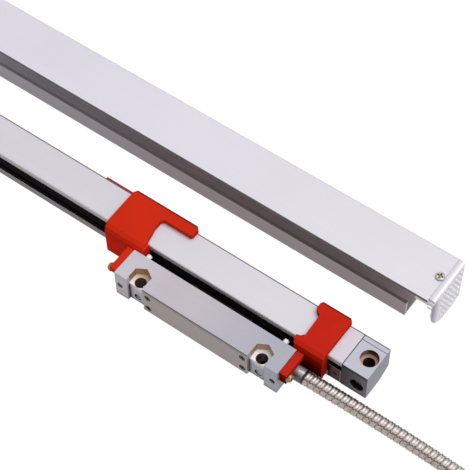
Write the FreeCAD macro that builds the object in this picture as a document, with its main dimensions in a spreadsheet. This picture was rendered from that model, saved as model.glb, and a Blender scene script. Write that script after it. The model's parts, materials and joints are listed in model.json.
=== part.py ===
import FreeCAD
import Part
import Sketcher
import math
import os
from FreeCAD import Placement, Rotation, Vector

# A sealed linear glass scale laid on its back, with its reader head, the two red transport
# brackets, the armoured cable and the aluminium cover beside it. X runs along the scale,
# +Y goes from the reader head to the scale and on to the cover, and Z = 0 is the table.
# The origin is midway between the two mounting holes of the scale, on its back face.

document = FreeCAD.newDocument("linear_glass_scale")
sheet = document.addObject("Spreadsheet::Sheet", "Sizes")

# The driving dimensions, in millimetres
SIZES = {
    # Scale: overall sizes and mounting holes
    "measuring_length": 200,
    "end_allowance": 140,
    "scale_width": 22,
    "scale_height": 20.5,
    "corner_run": 8.6,
    "corner_drop": 4,
    "block_length": 15.5,
    "mount_inset": 6,
    "mount_hole_dia": 6.5,
    "counterbore_dia": 10.5,
    "counterbore_depth": 4.6,
    "gasket_thickness": 0.5,
    "housing_edge_radius": 1.0,
    # Housing extrusion and its slot
    "side_wall": 2.2,
    "floor_wall": 2.6,
    "slot_low": 4.2,
    "slot_high": 17.1,
    "slit_low": 6.3,
    "slit_high": 8.4,
    "seal_recess": 0.3,
    "seal_thickness": 1.5,
    "bead_depth": 0.9,
    "bead_width": 0.9,
    "seat_clearance": 0.05,
    "spigot_length": 7,
    "spigot_clearance": 0.1,
    "lip_reach": 0.6,
    "clamp_length": 8,
    "clamp_depth": 1.7,
    "clamp_gap": 0.25,
    "clamp_height": 16.4,
    "clamp_foot": 0.4,
    "clamp_screw_level": 6.4,
    "recess_foot": 3,
    "recess_height": 9.2,
    "port_screw_dia": 5.2,
    "small_screw_dia": 4,
    "small_shank_dia": 2.2,
    # Glass and scanning carriage
    "glass_thickness": 1.5,
    "glass_level": 12.6,
    "glass_width": 11,
    "glass_groove": 0.8,
    "glass_end_gap": 10,
    "carriage_length": 58,
    "carriage_near": 7,
    "carriage_far": 7.4,
    "carriage_low": 5.8,
    "carriage_high": 17.4,
    "arm_gap": 1.2,
    "spine_width": 3.4,
    "roller_dia": 5,
    "roller_width": 2,
    "axle_dia": 2,
    "running_fit": 0.03,
    "rolling_gap": 0.05,
    "roller_spacing": 44,
    # Reader head
    "reader_position": 76,
    "head_length": 108,
    "head_depth": 18,
    "head_height": 20.2,
    "head_gap": 6.7,
    "tab_width": 8.3,
    "notch_width": 10.7,
    "notch_depth": 2.1,
    "reader_hole_inset": 13.5,
    "reader_hole_setback": 5.7,
    "hex_flats": 11,
    "hex_depth": 5.8,
    "plate_thickness": 2,
    "plate_height": 17.4,
    "plate_foot": 0.2,
    "plate_gap": 0.2,
    "plate_screw_dia": 4,
    "plate_screw_inset": 3.4,
    "pocket_inset": 6.5,
    "plate_screw_low": 4,
    "plate_screw_high": 14,
    "front_bore_dia": 4.6,
    "tab_hole_dia": 3.8,
    "blade_thickness": 1.4,
    "blade_width": 40,
    "tongue_width": 8,
    # Transport brackets
    "bracket_gap": 0.3,
    "bracket_thickness": 3.2,
    "hook_thickness": 1.6,
    "hook_bottom": 10,
    "skirt_thickness": 2.4,
    "skirt_foot": 1.5,
    "lug_thickness": 4.3,
    "lug_top": 19.4,
    "lug_height": 4.2,
    "lug_foot": 11.5,
    "rail_thickness": 0.9,
    "bracket_screw_dia": 5,
    "bracket_screw_level": 15.8,
    "bracket_screw_setback": 4,
    "pin_dia": 3.2,
    "pin_length": 3,
    "pin_inset": 8.2,
    "pin_level": 17.2,
    # Cable
    "cable_dia": 8.6,
    "cable_level": 9.6,
    "cable_setback": 12,
    "ferrule_length": 10.5,
    "ferrule_stub": 6,
    "wire_bore_dia": 5.2,
    "coil_outer_turn": 65.7,
    "turn_pitch": 8.8,
    # Cover
    "cover_overhang": 6.7,
    "cover_distance": 40,
    "cover_depth": 32.8,
    "cover_edge_radius": 1.6,
    "cover_height": 33.9,
    "cover_sheet": 2,
    "lip_setback": 4.4,
    "lip_height": 11.8,
    "channel_cutback": 17.7,
    "cap_fold": 3.7,
    "cap_sheet": 0.5,
    "cap_bend": 1.1,
    "cap_flange": 9.2,
    "cap_flange_thickness": 2.8,
    "cap_hole_dia": 2.2,
    "cap_hole_pitch": 2.9,
    "cap_hole_margin": 1.7,
    "cover_screw_dia": 5.4,
    "cover_screw_inset": 6.2,
}


class Size:
    """A number together with the sheet expression that gives it."""

    def __init__(self, value, text):
        self.value = value
        self.text = text

    def __add__(self, other):
        other = as_size(other)
        return Size(self.value + other.value, f"({self.text} + {other.text})")

    def __sub__(self, other):
        other = as_size(other)
        return Size(self.value - other.value, f"({self.text} - {other.text})")

    def __mul__(self, other):
        other = as_size(other)
        return Size(self.value * other.value, f"({self.text} * {other.text})")

    def __truediv__(self, other):
        other = as_size(other)
        return Size(self.value / other.value, f"({self.text} / {other.text})")

    def __neg__(self):
        return Size(-self.value, f"(0 - {self.text})")

    __radd__ = __add__
    __rmul__ = __mul__

    def __rsub__(self, other):
        return as_size(other) - self


def as_size(number):
    if isinstance(number, Size):
        return number
    return Size(float(number), f"({number:.6f})")


class Sizes:
    """The driving dimensions by name, each with a sheet row of its own."""

    def __init__(self):
        for row, (name, value) in enumerate(SIZES.items(), 1):
            sheet.set(f"A{row}", name)
            sheet.set(f"B{row}", str(value))
            sheet.setAlias(f"B{row}", name)
            setattr(self, name, Size(float(value), f"Sizes.{name}"))


d = Sizes()
document.recompute()

# Derived places
overall = d.measuring_length + d.end_allowance
half = overall / 2
near = -d.scale_width / 2
far = d.scale_width / 2
block_face = half - d.block_length
housing_end = block_face - d.gasket_thickness
mount_x = half - d.mount_inset
mount_radius = d.mount_hole_dia / 2
inner_near = near + d.side_wall
inner_far = far - d.side_wall
ceiling = d.scale_height - d.side_wall
corner_slope = d.corner_drop / d.corner_run
inner_turn = far - d.corner_run + d.side_wall * 0.25
inner_rise = d.floor_wall + (inner_far - inner_turn) * corner_slope
glass_top = d.glass_level + d.glass_thickness
glass_far = inner_far + d.glass_groove
glass_edge = glass_far - d.glass_width
glass_end = housing_end - d.glass_end_gap

head_back = near - d.head_gap
head_front = head_back - d.head_depth
head_left = d.reader_position - d.head_length / 2
head_right = d.reader_position + d.head_length / 2
plate_left = head_left + d.tab_width + d.notch_width
plate_right = head_right - d.tab_width - d.notch_width
hole_y = head_front + d.reader_hole_setback
cable_y = head_front + d.cable_setback
cable_radius = d.cable_dia / 2
cover_near = d.cover_distance
cover_far = d.cover_distance + d.cover_depth
cover_end = half + d.cover_overhang

nodes = {}


def bind(item, path, size):
    size = as_size(size)
    item.setExpression(path, size.text)


def origin_plane(body, role):
    for feature in body.Origin.OriginFeatures:
        if feature.Role == role:
            return feature
    raise ValueError(role)


def draw_loop(sketch, loop):
    """Add one closed loop: a circle (x, y, radius) or a polygon, tied to the sheet."""
    if loop[0] == "circle":
        x, y, radius = (as_size(part) for part in loop[1:])
        circle = Part.Circle(Vector(x.value, y.value, 0), Vector(0, 0, 1), radius.value)
        number = sketch.addGeometry(circle, False)
        places = [("DistanceX", x, 3), ("DistanceY", y, 3)]
        for kind, size, point in places:
            row = sketch.addConstraint(Sketcher.Constraint(kind, -1, 1, number, point, size.value))
            sketch.setExpression(f"Constraints[{row}]", size.text)
        row = sketch.addConstraint(Sketcher.Constraint("Radius", number, radius.value))
        sketch.setExpression(f"Constraints[{row}]", radius.text)
        return
    corners = [(as_size(x), as_size(y)) for x, y in loop]
    first = None
    for place, (x, y) in enumerate(corners):
        next_x, next_y = corners[(place + 1) % len(corners)]
        start = Vector(x.value, y.value, 0)
        end = Vector(next_x.value, next_y.value, 0)
        number = sketch.addGeometry(Part.LineSegment(start, end), False)
        first = number if first is None else first
    for place, (x, y) in enumerate(corners):
        line = first + place
        following = first + (place + 1) % len(corners)
        sketch.addConstraint(Sketcher.Constraint("Coincident", line, 2, following, 1))
        for kind, size in (("DistanceX", x), ("DistanceY", y)):
            row = sketch.addConstraint(Sketcher.Constraint(kind, -1, 1, line, 1, size.value))
            sketch.setExpression(f"Constraints[{row}]", size.text)


def signed(plane, low, high):
    """The sketch offsets of a span: the XZ plane looks along -Y."""
    if plane == "XZ":
        return -high, -low
    return low, high


def shape_body(label, *steps):
    """A body made of pads and pockets: (kind, plane, loops, low, high) along the normal."""
    body = document.addObject("PartDesign::Body", label)
    body.Label = label
    for count, (kind, plane, loops, low, high) in enumerate(steps):
        low, high = signed(plane, as_size(low), as_size(high))
        sketch = body.newObject("Sketcher::SketchObject", f"{label}_sketch_{count}")
        sketch.AttachmentSupport = [(origin_plane(body, f"{plane}_Plane"), "")]
        sketch.MapMode = "FlatFace"
        for loop in loops:
            draw_loop(sketch, loop)
        bind(sketch, "AttachmentOffset.Base.z", (low + high) / 2)
        type_name = "PartDesign::Pad" if kind == "pad" else "PartDesign::Pocket"
        feature = body.newObject(type_name, f"{label}_{kind}_{count}")
        feature.Profile = sketch
        feature.Midplane = True
        bind(feature, "Length", high - low)
        sketch.Visibility = False
    nodes[label] = body
    return body


def rectangle(x0, x1, y0, y1):
    return [(x0, y0), (x1, y0), (x1, y1), (x0, y1)]


def round_edges(body, radius, wanted):
    """Fillet the edges of the finished body for which wanted(edge) is true."""
    document.recompute()
    tip = body.Tip
    names = []
    for count, edge in enumerate(tip.Shape.Edges, 1):
        if wanted(edge):
            names.append(f"Edge{count}")
    fillet = body.newObject("PartDesign::Fillet", f"{body.Label}_fillet")
    fillet.Base = (tip, names)
    bind(fillet, "Radius", radius)


def parallel_to(edge, direction):
    if not isinstance(edge.Curve, Part.Line):
        return False
    return abs(edge.tangentAt(edge.FirstParameter).dot(direction)) > 0.999


def place(item, x, y, z, rotation=None):
    item.Placement = Placement(Vector(0, 0, 0), rotation or Rotation())
    for name, size in zip("xyz", (x, y, z)):
        bind(item, f"Placement.Base.{name}", size)


TURNS = {
    "x": Rotation(Vector(0, 1, 0), 90),
    "-x": Rotation(Vector(0, 1, 0), -90),
    "y": Rotation(Vector(1, 0, 0), -90),
    "-y": Rotation(Vector(1, 0, 0), 90),
    "z": Rotation(),
    "-z": Rotation(Vector(1, 0, 0), 180),
}
UNITS = {
    "x": (1, 0, 0),
    "-x": (-1, 0, 0),
    "y": (0, 1, 0),
    "-y": (0, -1, 0),
    "z": (0, 0, 1),
    "-z": (0, 0, -1),
}


def cylinder(name, axis, start, radius, length):
    item = document.addObject("Part::Cylinder", name)
    bind(item, "Radius", radius)
    bind(item, "Height", length)
    place(item, *start, TURNS[axis])
    return item


def cone(name, axis, start, radius, far_radius, length):
    item = document.addObject("Part::Cone", name)
    bind(item, "Radius1", radius)
    bind(item, "Radius2", far_radius)
    bind(item, "Height", length)
    place(item, *start, TURNS[axis])
    return item


def box(name, low, high):
    item = document.addObject("Part::Box", name)
    for side, a, b in zip(("Length", "Width", "Height"), low, high):
        bind(item, side, as_size(b) - as_size(a))
    place(item, *low)
    return item


def fuse(name, items):
    joined = document.addObject("Part::MultiFuse", name)
    joined.Shapes = items
    return joined


def cut(name, base, tools):
    tool = tools[0] if len(tools) == 1 else fuse(f"{name}_tools", tools)
    result = document.addObject("Part::Cut", name)
    result.Base = base
    result.Tool = tool
    return result


def keep(label, item):
    item.Label = label
    nodes[label] = item
    return item


def along(start, axis, distance):
    """The point at a distance from start along an axis."""
    distance = as_size(distance)
    moved = []
    for size, unit in zip(start, UNITS[axis]):
        moved.append(as_size(size) + distance * unit if unit else as_size(size))
    return moved


def cross_screw(name, axis, seat, head_dia, head_height, shank_dia, shank_length, sunk):
    """A cross-slot screw. The seat is where the head meets the work, the axis points in."""
    back = {"x": "-x", "-x": "x", "y": "-y", "-y": "y", "z": "-z", "-z": "z"}[axis]
    head_height = as_size(head_height)
    if sunk:
        top = along(seat, axis, 0)
        head = cone(f"{name}_head", axis, top, head_dia / 2, shank_dia / 2, head_height)
        shank_start = along(seat, axis, head_height)
    else:
        top = along(seat, back, head_height)
        rim = cylinder(f"{name}_rim", back, seat, head_dia / 2, head_height * 0.5)
        crown = cone(f"{name}_crown", back, along(seat, back, head_height * 0.5), head_dia / 2,
                     head_dia * 0.38, head_height * 0.5)
        head = fuse(f"{name}_head", [rim, crown])
        shank_start = seat
    shank = cylinder(f"{name}_shank", axis, shank_start, shank_dia / 2, shank_length)
    body = fuse(f"{name}_body", [head, shank])
    slots = []
    others = [unit for unit in "xyz" if unit not in axis]
    for long_side, short_side in (others, others[::-1]):
        low = []
        high = []
        for side, size in zip("xyz", top):
            reach = {long_side: head_dia * 0.33, short_side: head_dia * 0.09}.get(side)
            reach = head_height * 0.42 if reach is None else reach
            low.append(size - reach)
            high.append(size + reach)
        slots.append(box(f"{name}_slot_{long_side}", low, high))
    return cut(name, body, slots)


def group(label, items):
    compound = document.addObject("Part::Compound", label)
    compound.Links = items
    return keep(label, compound)


def section(inset, low=0):
    """The outer section of the scale in Y and Z, moved in by an inset on its sides."""
    inset = as_size(inset)
    return [
        (near + inset, as_size(low)),
        (far - d.corner_run, as_size(low)),
        (far - inset, d.corner_drop),
        (far - inset, d.scale_height - inset),
        (near + inset, d.scale_height - inset),
    ]


def cavity(inset):
    """The hollow of the housing, smaller by an inset all round."""
    inset = as_size(inset)
    return [
        (inner_near + inset, d.floor_wall + inset),
        (inner_turn - inset * 0.25, d.floor_wall + inset),
        (inner_far - inset, inner_rise + inset * 0.8),
        (inner_far - inset, ceiling - inset),
        (inner_near + inset, ceiling - inset),
    ]


screw_sink = as_size(1.1)

# Housing extrusion with its hollow, the slot, the seal grooves and the glass groove
bead_near = near + d.seal_recess + (d.seal_thickness - d.bead_width) / 2
bead_far = bead_near + d.bead_width
clamp_start = housing_end - d.clamp_length
clamp_x = clamp_start + d.clamp_length / 2
clamp_z = d.clamp_screw_level
shape_body(
    "housing",
    ("pad", "YZ", [section(0), cavity(0)], -housing_end, housing_end),
    ("cut", "XZ", [rectangle(-housing_end - 1, housing_end + 1, d.slot_low, d.slot_high)],
     near - 1, inner_near + 0.1),
    ("cut", "YZ", [rectangle(bead_near, bead_far, d.slot_low - d.bead_depth, d.slot_high + d.bead_depth)],
     -housing_end - 1, housing_end + 1),
    ("cut", "YZ", [rectangle(inner_far - 0.1, glass_far + d.seat_clearance,
                             d.glass_level - d.seat_clearance, glass_top + d.seat_clearance)],
     -housing_end - 1, housing_end + 1),
    ("cut", "XZ", [rectangle(clamp_start - d.clamp_gap, housing_end + 1, -1, d.slot_high),
                   rectangle(-housing_end - 1, -clamp_start + d.clamp_gap, -1, d.slot_high)],
     near - 1, near + d.clamp_depth + d.seat_clearance),
    ("cut", "XY", [("circle", clamp_x, 0, d.small_shank_dia / 2),
                   ("circle", -clamp_x, 0, d.small_shank_dia / 2)], -1, d.floor_wall + 0.5),
    ("cut", "XY", [("circle", clamp_x, 0, d.small_screw_dia / 2),
                   ("circle", -clamp_x, 0, d.small_screw_dia / 2)], -1, screw_sink),
)


def near_top_edge(edge):
    middle = edge.CenterOfMass
    level = abs(middle.z - d.scale_height.value) < 0.01
    return parallel_to(edge, Vector(1, 0, 0)) and level and abs(middle.y - near.value) < 0.01


round_edges(nodes["housing"], d.housing_edge_radius, near_top_edge)

# End blocks with mounting hole, recess, spigot and gasket
recess_left = block_face + 5
recess_right = half - 2
recess_low = d.recess_foot
recess_high = d.recess_foot + d.recess_height
port_x = (recess_left + recess_right) / 2
port_z = (recess_low + recess_high) / 2
spigot_near = inner_near + d.lip_reach + d.spigot_clearance * 3


def octagon(x0, x1, y0, y1, corner):
    """A rectangle with cut corners."""
    corner = as_size(corner)
    return [
        (x0 + corner, y0), (x1 - corner, y0), (x1, y0 + corner), (x1, y1 - corner),
        (x1 - corner, y1), (x0 + corner, y1), (x0, y1 - corner), (x0, y0 + corner),
    ]


def mirrored(loop, side):
    """The loop with X turned round for the left side."""
    if side > 0:
        return loop
    if loop[0] == "circle":
        return ("circle", -as_size(loop[1]), loop[2], loop[3])
    return [(-as_size(x), y) for x, y in reversed(loop)]


def span(low, high, side):
    if side > 0:
        return as_size(low), as_size(high)
    return -as_size(high), -as_size(low)


spigot = [
    (spigot_near, d.floor_wall + d.spigot_clearance),
    (inner_turn - d.spigot_clearance, d.floor_wall + d.spigot_clearance),
    (inner_far - d.spigot_clearance, inner_rise + d.spigot_clearance),
    (inner_far - d.spigot_clearance, ceiling - d.spigot_clearance),
    (spigot_near, ceiling - d.spigot_clearance),
]
for side, name in ((1, "right"), (-1, "left")):
    shape_body(
        f"{name}_end_block",
        ("pad", "YZ", [section(0)], *span(block_face, half, side)),
        ("pad", "YZ", [spigot], *span(housing_end - d.spigot_length, block_face + 0.5, side)),
        ("cut", "XY", [mirrored(("circle", mount_x, 0, mount_radius), side)],
         -1, d.scale_height + 1),
        ("cut", "XY", [mirrored(("circle", mount_x, 0, d.counterbore_dia / 2), side)],
         d.scale_height - d.counterbore_depth, d.scale_height + 1),
        ("cut", "XZ", [mirrored(octagon(recess_left, recess_right, recess_low, recess_high, 2.6), side)],
         near - 1, near + 4),
        ("cut", "XZ", [mirrored(("circle", port_x, port_z, d.small_shank_dia / 2), side)],
         near + 3, near + 7),
        ("cut", "YZ", [rectangle(far - 3.6, far - 3.2, d.scale_height - 0.4, d.scale_height + 1)],
         *span(block_face - 0.1, half + 1, side)),
        ("cut", "XY", [mirrored(("circle", clamp_x, 0, d.small_shank_dia / 2), side)],
         d.floor_wall - 1, d.floor_wall + 6),
        ("cut", "XZ", [mirrored(("circle", clamp_x, clamp_z, d.small_shank_dia / 2), side)],
         spigot_near - 1, spigot_near + 4),
    )
    shape_body(
        f"{name}_gasket",
        ("pad", "YZ", [section(0), cavity(0)], *span(housing_end, block_face, side)),
    )
    round_edges(nodes[f"{name}_gasket"], d.housing_edge_radius, near_top_edge)

# Rubber lip seals in the slot
face = near + d.seal_recess
back = face + d.seal_thickness
tip = inner_near + d.lip_reach
shape_body(
    "upper_lip_seal",
    ("pad", "YZ", [[
        (face, d.slot_high - d.seat_clearance), (face, d.slit_high + 1.8),
        (back - 0.6, d.slit_high), (tip, d.slit_high), (back, d.slit_high + 2.6),
        (back, d.slot_high - d.seat_clearance),
        (bead_far - d.seat_clearance, d.slot_high - d.seat_clearance),
        (bead_far - d.seat_clearance, d.slot_high + d.bead_depth - d.seat_clearance),
        (bead_near + d.seat_clearance, d.slot_high + d.bead_depth - d.seat_clearance),
        (bead_near + d.seat_clearance, d.slot_high - d.seat_clearance),
    ]], -clamp_start, clamp_start),
)
shape_body(
    "lower_lip_seal",
    ("pad", "YZ", [[
        (face, d.slot_low + d.seat_clearance), (face, d.slit_low - 1.2),
        (back - 0.6, d.slit_low), (tip, d.slit_low), (back, d.slit_low - 1.4),
        (back, d.slot_low + d.seat_clearance),
        (bead_far - d.seat_clearance, d.slot_low + d.seat_clearance),
        (bead_far - d.seat_clearance, d.slot_low - d.bead_depth + d.seat_clearance),
        (bead_near + d.seat_clearance, d.slot_low - d.bead_depth + d.seat_clearance),
        (bead_near + d.seat_clearance, d.slot_low + d.seat_clearance),
    ]], -clamp_start, clamp_start),
)

# Seal end clamps, port screws and the screws that hold the blocks
clamps = []
clamp_screws = []
port_screws = []
block_screws = []
for side, name in ((1, "right"), (-1, "left")):
    low, high = span(clamp_start, housing_end, side)
    plate = box(f"{name}_clamp_plate", (low, near, d.clamp_foot),
                (high, near + d.clamp_depth, d.clamp_foot + d.clamp_height))
    bore = cylinder(f"{name}_clamp_bore", "y", (clamp_x * side, near - 1, clamp_z),
                    d.small_shank_dia / 2, d.clamp_depth + 2)
    sink = cone(f"{name}_clamp_sink", "y", (clamp_x * side, near, clamp_z),
                d.small_screw_dia / 2, d.small_shank_dia / 2, screw_sink)
    clamps.append(cut(f"{name}_clamp", plate, [bore, sink]))
    clamp_screws.append(cross_screw(
        f"{name}_clamp_screw", "y", (clamp_x * side, near, clamp_z),
        d.small_screw_dia, screw_sink, d.small_shank_dia, spigot_near + 3.5 - near - screw_sink, True))
    port_screws.append(cross_screw(
        f"{name}_port_screw", "y", (port_x * side, near + 4, port_z),
        d.port_screw_dia, 1.6, d.small_shank_dia, 2.8, False))
    block_screws.append(cross_screw(
        f"{name}_block_screw", "z", (clamp_x * side, as_size(0), as_size(0)),
        d.small_screw_dia, screw_sink, d.small_shank_dia, d.floor_wall + 4, True))
group("seal_clamps", clamps)
group("seal_clamp_screws", clamp_screws)
group("air_port_screws", port_screws)
group("end_block_screws", block_screws)

# Glass strip with the graduation, held in the far wall by an elastic bead
shape_body(
    "glass_strip",
    ("pad", "XY", [rectangle(-glass_end, glass_end, glass_edge, glass_far)],
     d.glass_level, glass_top),
)
shape_body(
    "glass_bead",
    ("pad", "YZ", [[(inner_far, glass_top), (inner_far, glass_top + 1.6), (inner_far - 1.6, glass_top)]],
     -glass_end, glass_end),
)

# Scanning carriage around the glass, with its rollers
centre = d.reader_position
carriage_left = centre - d.carriage_length / 2
carriage_right = centre + d.carriage_length / 2
arm_low_top = d.glass_level - d.arm_gap
arm_high_bottom = glass_top + d.arm_gap
spine_far = d.spine_width - d.carriage_near
roller_radius = d.roller_dia / 2
face_roller_z = d.glass_level - roller_radius - d.rolling_gap
edge_roller_y = glass_edge - roller_radius - d.rolling_gap
edge_roller_z = d.glass_level + d.glass_thickness / 2
roller_reach = d.roller_spacing / 2
face_rollers = [
    (centre - roller_reach, inner_far - 4.4),
    (centre + roller_reach, inner_far - 4.4),
    (centre + roller_reach / 2, inner_far - 8.2),
]
edge_rollers = [centre - roller_reach, centre + roller_reach]
pocket = roller_radius + 0.6
half_roller = d.roller_width / 2
lane = half_roller + 0.35
window = (centre - 14, centre + 3)
blade_level = (d.slit_low + d.slit_high) / 2
blade_low = blade_level - d.blade_thickness / 2
blade_high = blade_level + d.blade_thickness / 2
tongue_half = d.tongue_width / 2
tongue_tip = inner_near + 4.2
steps = [
    ("pad", "YZ", [rectangle(-d.carriage_near, d.carriage_far, d.carriage_low, d.carriage_high)],
     carriage_left, carriage_right),
    ("cut", "YZ", [rectangle(spine_far, d.carriage_far + 1, arm_low_top, arm_high_bottom)],
     carriage_left - 1, carriage_right + 1),
    ("cut", "XY", [rectangle(window[0], window[1], -3, 4)], d.carriage_low - 1, d.carriage_high + 1),
    ("cut", "XZ", [rectangle(centre - tongue_half - 0.3, centre + tongue_half + 0.3,
                             blade_low - 0.3, blade_high + 0.3)],
     -d.carriage_near - 1, tongue_tip + 0.3),
    ("cut", "XY", [("circle", centre, inner_near + 3, d.axle_dia / 2)],
     d.carriage_low - 1, blade_high + 2),
]
for x, y in face_rollers:
    steps.append(("cut", "XY", [rectangle(x - pocket, x + pocket, y - lane, y + lane)],
                  face_roller_z - pocket, arm_low_top + 1))
    steps.append(("cut", "XZ", [("circle", x, face_roller_z, d.axle_dia / 2)],
                  y - lane - 1.2, y + lane + 1.2))
for x in edge_rollers:
    steps.append(("cut", "XZ", [rectangle(x - pocket, x + pocket, edge_roller_z - lane,
                                          edge_roller_z + lane)],
                  -d.carriage_near - 1, spine_far + 1))
    steps.append(("cut", "XY", [("circle", x, edge_roller_y, d.axle_dia / 2)],
                  edge_roller_z - lane - 1.4, edge_roller_z + lane + 1.4))
shape_body("scanning_carriage", *steps)

axles = []
for count, (x, y) in enumerate(face_rollers):
    axles.append(cylinder(f"face_axle_{count}", "y", (x, y - lane - 1.2, face_roller_z),
                          d.axle_dia / 2, (lane + 1.2) * 2))
    ring = shape_body(
        f"roller_{count + 1}",
        ("pad", "XZ", [("circle", x, face_roller_z, roller_radius),
                       ("circle", x, face_roller_z, d.axle_dia / 2 + d.running_fit)],
         y - half_roller, y + half_roller),
    )
for count, x in enumerate(edge_rollers):
    axles.append(cylinder(f"edge_axle_{count}", "z", (x, edge_roller_y, edge_roller_z - lane - 1.4),
                          d.axle_dia / 2, (lane + 1.4) * 2))
    shape_body(
        f"roller_{count + 4}",
        ("pad", "XY", [("circle", x, edge_roller_y, roller_radius),
                       ("circle", x, edge_roller_y, d.axle_dia / 2 + d.running_fit)],
         edge_roller_z - half_roller, edge_roller_z + half_roller),
    )
group("roller_axles", axles)

# Scanning optics: lamp board with lens above the glass, index glass and sensor board below
shape_body(
    "lamp_board",
    ("pad", "XY", [rectangle(window[0] - 1.5, window[1] + 1.5, -4.5, 5.5)],
     d.carriage_high, d.carriage_high + 0.5),
)
shape_body(
    "condenser_lens",
    ("pad", "XY", [("circle", (window[0] + window[1]) / 2, 0.5, 3.3)],
     arm_high_bottom + 0.3, d.carriage_high),
)
shape_body(
    "index_glass",
    ("pad", "XY", [rectangle(window[0], window[1], -3, 4)], arm_low_top - 1, arm_low_top + 0.5),
)
shape_body(
    "sensor_board",
    ("pad", "XY", [rectangle(window[0] - 1.5, window[1] + 1.5, -4.5, 4.6)],
     d.carriage_low - 0.8, d.carriage_low),
    ("pad", "XY", [rectangle(window[0] + 3, window[1] - 3, -1.5, 2.5)],
     d.carriage_low - 0.4, d.carriage_low + 1.2),
)

# Blade from the head through the seal, with the pin that takes the carriage along
blade_root = head_back - 6
shape_body(
    "coupling_blade",
    ("pad", "XY", [[
        (centre - d.blade_width / 2, blade_root), (centre + d.blade_width / 2, blade_root),
        (centre + d.blade_width / 2, inner_near + 0.9), (centre + tongue_half, inner_near + 0.9),
        (centre + tongue_half, tongue_tip), (centre - tongue_half, tongue_tip),
        (centre - tongue_half, inner_near + 0.9), (centre - d.blade_width / 2, inner_near + 0.9),
    ]], blade_low, blade_high),
    ("cut", "XY", [("circle", centre, inner_near + 3, d.axle_dia / 2)], blade_low - 1, blade_high + 1),
)
keep("coupling_pin", cylinder("pin", "z", (centre, inner_near + 3, d.carriage_low), d.axle_dia / 2,
                              blade_high + 2 - d.carriage_low))


def hexagon(x, y, flats):
    """A hexagon whose flats face along X and whose corners point along Y."""
    corner = flats / math.sqrt(3)
    points = []
    for step in range(6):
        angle = math.radians(60 * step + 30)
        points.append((x + corner * math.cos(angle), y + corner * math.sin(angle)))
    return points


# Reader head block
holes_x = [head_left + d.reader_hole_inset, head_right - d.reader_hole_inset]
step_y = head_front + d.notch_depth
ledge = d.plate_foot + d.plate_height + d.plate_gap
pocket_back = head_back - 4
tab_hole_x = [head_left + 3, head_right - 3]
bracket_screw_y = head_front + d.bracket_screw_setback
steps = [
    ("pad", "XY", [rectangle(head_left, head_right, head_front, head_back)], 0, d.head_height),
    ("cut", "XY", [rectangle(head_left + d.tab_width, plate_left, head_front - 1, step_y),
                   rectangle(plate_right, head_right - d.tab_width, head_front - 1, step_y)],
     -1, d.head_height + 1),
    ("cut", "XZ", [rectangle(plate_left - 0.1, plate_right + 0.1, -1, ledge)], head_front - 1, step_y),
    ("cut", "XZ", [rectangle(plate_left + d.pocket_inset, plate_right - d.pocket_inset, 2.6, 16.8)],
     step_y - 0.5, pocket_back),
    ("cut", "XY", [("circle", x, hole_y, d.mount_hole_dia / 2) for x in holes_x], -1, d.head_height + 1),
    ("cut", "XY", [hexagon(x, hole_y, d.hex_flats) for x in holes_x],
     d.head_height - d.hex_depth, d.head_height + 1),
    ("cut", "XZ", [("circle", x, 4.6, d.front_bore_dia / 2) for x in holes_x], head_front, step_y + 9),
    ("cut", "XZ", [("circle", x, 9.6, d.tab_hole_dia / 2) for x in tab_hole_x],
     head_front - 1, head_front + 5),
    ("cut", "YZ", [("circle", cable_y, d.cable_level, d.wire_bore_dia / 2)],
     plate_right - 7, head_right + 1),
    ("cut", "YZ", [("circle", cable_y, d.cable_level, cable_radius - 0.5)],
     head_right - d.ferrule_stub, head_right + 1),
    ("cut", "YZ", [("circle", bracket_screw_y, d.bracket_screw_level, 1.5)],
     head_left - 1, head_left + 5),
    ("cut", "YZ", [("circle", bracket_screw_y, d.bracket_screw_level, 1.5)],
     head_right - 5, head_right + 1),
    ("cut", "XY", [rectangle(centre - d.blade_width / 2, centre + d.blade_width / 2,
                             blade_root, head_back + 1)], blade_low, blade_high),
    ("cut", "XZ", [("circle", x, z, 1.1) for x in (plate_left + d.plate_screw_inset,
                                                    plate_right - d.plate_screw_inset)
                   for z in (d.plate_screw_low, d.plate_screw_high)], step_y - 0.5, step_y + 5),
]
shape_body("reader_block", *steps)

# Front plate of the head with its four dark screws
plate_screws = []
plate_holes = []
plate_back = head_front + d.plate_thickness
for x in (plate_left + d.plate_screw_inset, plate_right - d.plate_screw_inset):
    for z in (d.plate_screw_low, d.plate_screw_high):
        place_at = (x, head_front, z)
        plate_holes.append(("circle", x, z, d.plate_screw_dia / 2 + 0.1))
        plate_screws.append(cross_screw(
            f"plate_screw_{len(plate_screws)}", "y", along(place_at, "y", 1.4),
            d.plate_screw_dia, 1.2, 2.2, 5, False))
shape_body(
    "front_plate",
    ("pad", "XZ", [rectangle(plate_left + d.plate_gap, plate_right - d.plate_gap,
                             d.plate_foot, d.plate_foot + d.plate_height)], head_front, plate_back),
    ("cut", "XZ", plate_holes, head_front - 1, head_front + 1.4),
    ("cut", "XZ", [("circle", hole[1], hole[2], 1.1) for hole in plate_holes],
     head_front, plate_back + 1),
)
group("front_plate_screws", plate_screws)

# Amplifier board in the head
board_y = step_y + 5
shape_body(
    "amplifier_board",
    ("pad", "XZ", [rectangle(plate_left + d.pocket_inset, plate_right - d.pocket_inset, 2.6, 16.8)],
     board_y, board_y + 1.6),
)
board_left = plate_left + d.pocket_inset
board_right = plate_right - d.pocket_inset
chips = []
for count, (low_x, width, height) in enumerate((
        (board_left + 4.5, 8, 6), (centre - 8.5, 5, 4), (centre + 1.5, 9, 9), (board_right - 9.5, 4, 3))):
    chips.append(box(f"chip_{count}", (low_x, board_y - 1.4, as_size(9.7 - height / 2)),
                     (low_x + width, board_y, as_size(9.7 + height / 2))))
group("amplifier_chips", chips)

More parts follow.
